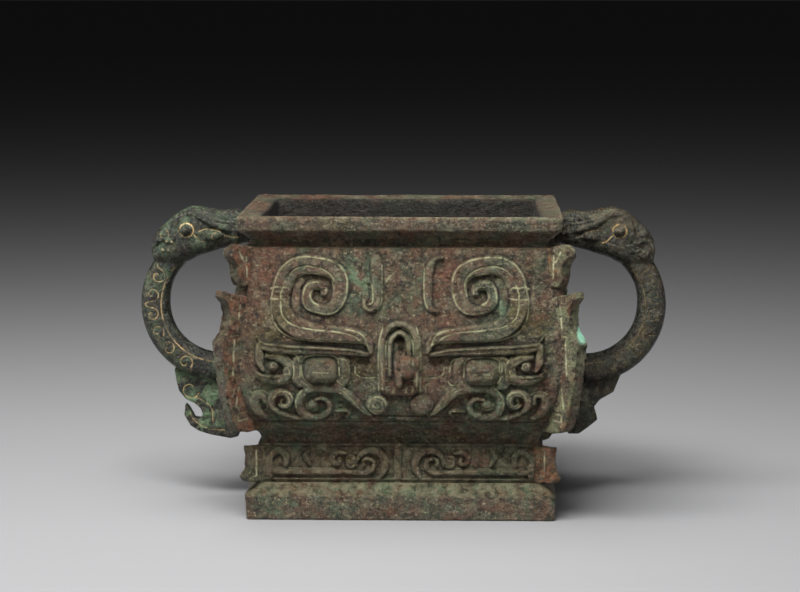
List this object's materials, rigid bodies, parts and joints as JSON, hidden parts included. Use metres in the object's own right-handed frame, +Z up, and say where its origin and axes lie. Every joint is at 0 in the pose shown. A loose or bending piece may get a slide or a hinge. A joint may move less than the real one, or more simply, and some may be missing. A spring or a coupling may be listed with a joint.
{
  "type": "gui food vessel",
  "caption": "Rectangular cast bronze gui: taotie mask relief, notched corner flanges, dragon band on the ring foot, beast-headed loop handles with hooked pendants",
  "frame": {"origin": "centre of the plinth's underside", "axes": "+X along the length, towards the handle whose pendant is broken; +Y away from the masked front; +Z up"},
  "size_m": [0.3342, 0.1888, 0.1873],
  "materials": {
    "body_bronze": "old bronze under a mottled brown and green patina",
    "left_handle_bronze": "dark green patina with pale lines in the engraving",
    "right_handle_bronze": "olive brown patina rubbed to a dull gold"
  },
  "bodies": {
    "root": {"vessel": "body_bronze", "handle_left": "left_handle_bronze", "handle_right": "right_handle_bronze"}
  },
  "joints": []
}
